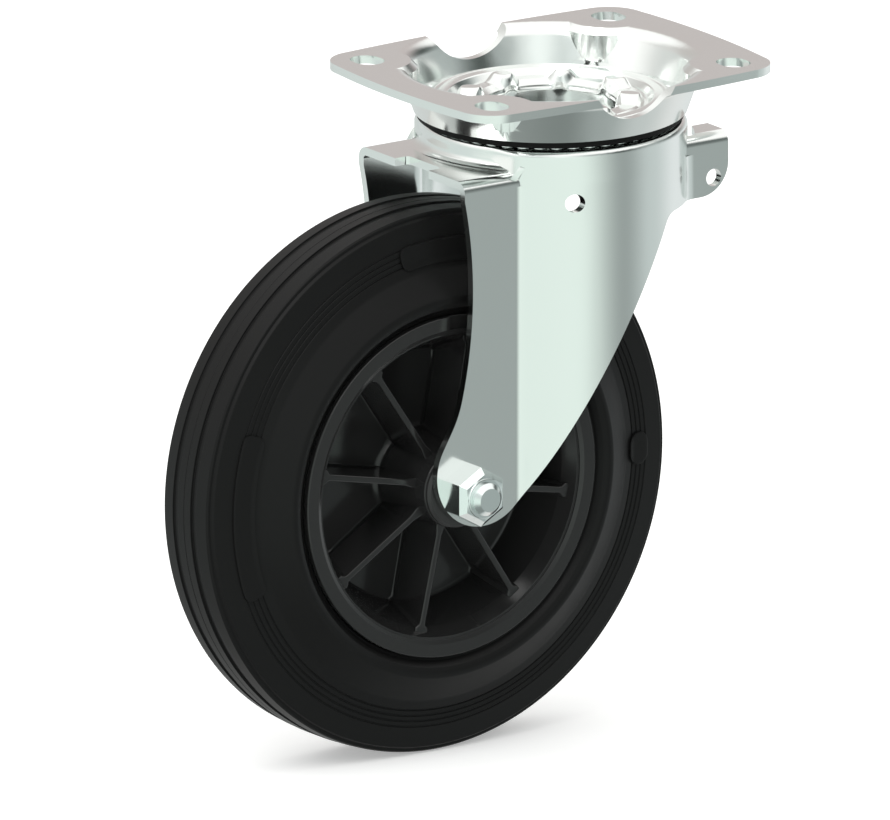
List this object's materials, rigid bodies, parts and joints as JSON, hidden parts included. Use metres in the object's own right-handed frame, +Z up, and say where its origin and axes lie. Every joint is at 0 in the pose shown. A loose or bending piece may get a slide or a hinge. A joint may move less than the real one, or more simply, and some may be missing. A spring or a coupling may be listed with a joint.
{
  "type": "swivel castor",
  "caption": "Plate-mounted swivel castor: pressed sheet fork on a double row of balls under a slotted top plate, with a rubber-tyred ribbed wheel on a bolted axle.",
  "frame": {"origin": "centre of the four-slot hole pattern, on the plate's top face, on the swivel axis", "axes": "+Z up along the swivel axis, out of the plate's top face; +Y the way the castor travels, with the wheel trailing towards -Y; +X along the wheel's axle towards its nut"},
  "size_m": [0.1082, 0.2277, 0.2425],
  "materials": {
    "zinc_steel": "bright zinc plate, smooth pressed sheet",
    "ball_steel": "polished",
    "bright_zinc_fastener": "zinc plated, turned",
    "black_seal": "matt",
    "black_rim": "moulded, half gloss",
    "black_tyre": "smooth moulded rubber",
    "black_polymer": "moulded, matt",
    "natural_nylon": "moulded"
  },
  "bodies": {
    "plate": {"top_plate": "zinc_steel", "dust_seal": "black_seal"},
    "fork": {"fork_crown": "zinc_steel", "fork_leg_near": "zinc_steel", "fork_leg_far": "zinc_steel", "king_ring": "zinc_steel", "axle_sleeve": "bright_zinc_fastener", "axle_bolt": "bright_zinc_fastener", "axle_nut": "bright_zinc_fastener", "nut_insert": "natural_nylon"},
    "wheel": {"rim": "black_rim", "tyre": "black_tyre", "hub_ring_near": "black_polymer", "hub_ring_far": "black_polymer"},
    "upper_row": {"upper_balls": "ball_steel"},
    "lower_row": {"lower_balls": "ball_steel"},
    "roller_set": {"roller_cage": "natural_nylon", "rollers": "ball_steel"}
  },
  "joints": [
    {"name": "swivel", "type": "hinge", "parent": "plate", "child": "fork", "pos_m": [0, 0, -0.02], "axis": [0, 0, 1], "continuous": true},
    {"name": "upper_row_turn", "type": "hinge", "parent": "plate", "child": "upper_row", "pos_m": [0, 0, -0.0148], "axis": [0, 0, 1], "continuous": true},
    {"name": "lower_row_turn", "type": "hinge", "parent": "plate", "child": "lower_row", "pos_m": [0, 0, -0.0209], "axis": [0, 0, 1], "continuous": true},
    {"name": "wheel_spin", "type": "hinge", "parent": "fork", "child": "wheel", "pos_m": [0, -0.0595, -0.1425], "axis": [1, 0, 0], "continuous": true},
    {"name": "roller_turn", "type": "hinge", "parent": "fork", "child": "roller_set", "pos_m": [0, -0.0595, -0.1425], "axis": [1, 0, 0], "continuous": true}
  ],
  "couplings": [
    {"joint": "upper_row_turn", "follows": "swivel", "ratio": 0.5},
    {"joint": "lower_row_turn", "follows": "swivel", "ratio": 0.5},
    {"joint": "roller_turn", "follows": "wheel_spin", "ratio": 0.5803}
  ]
}
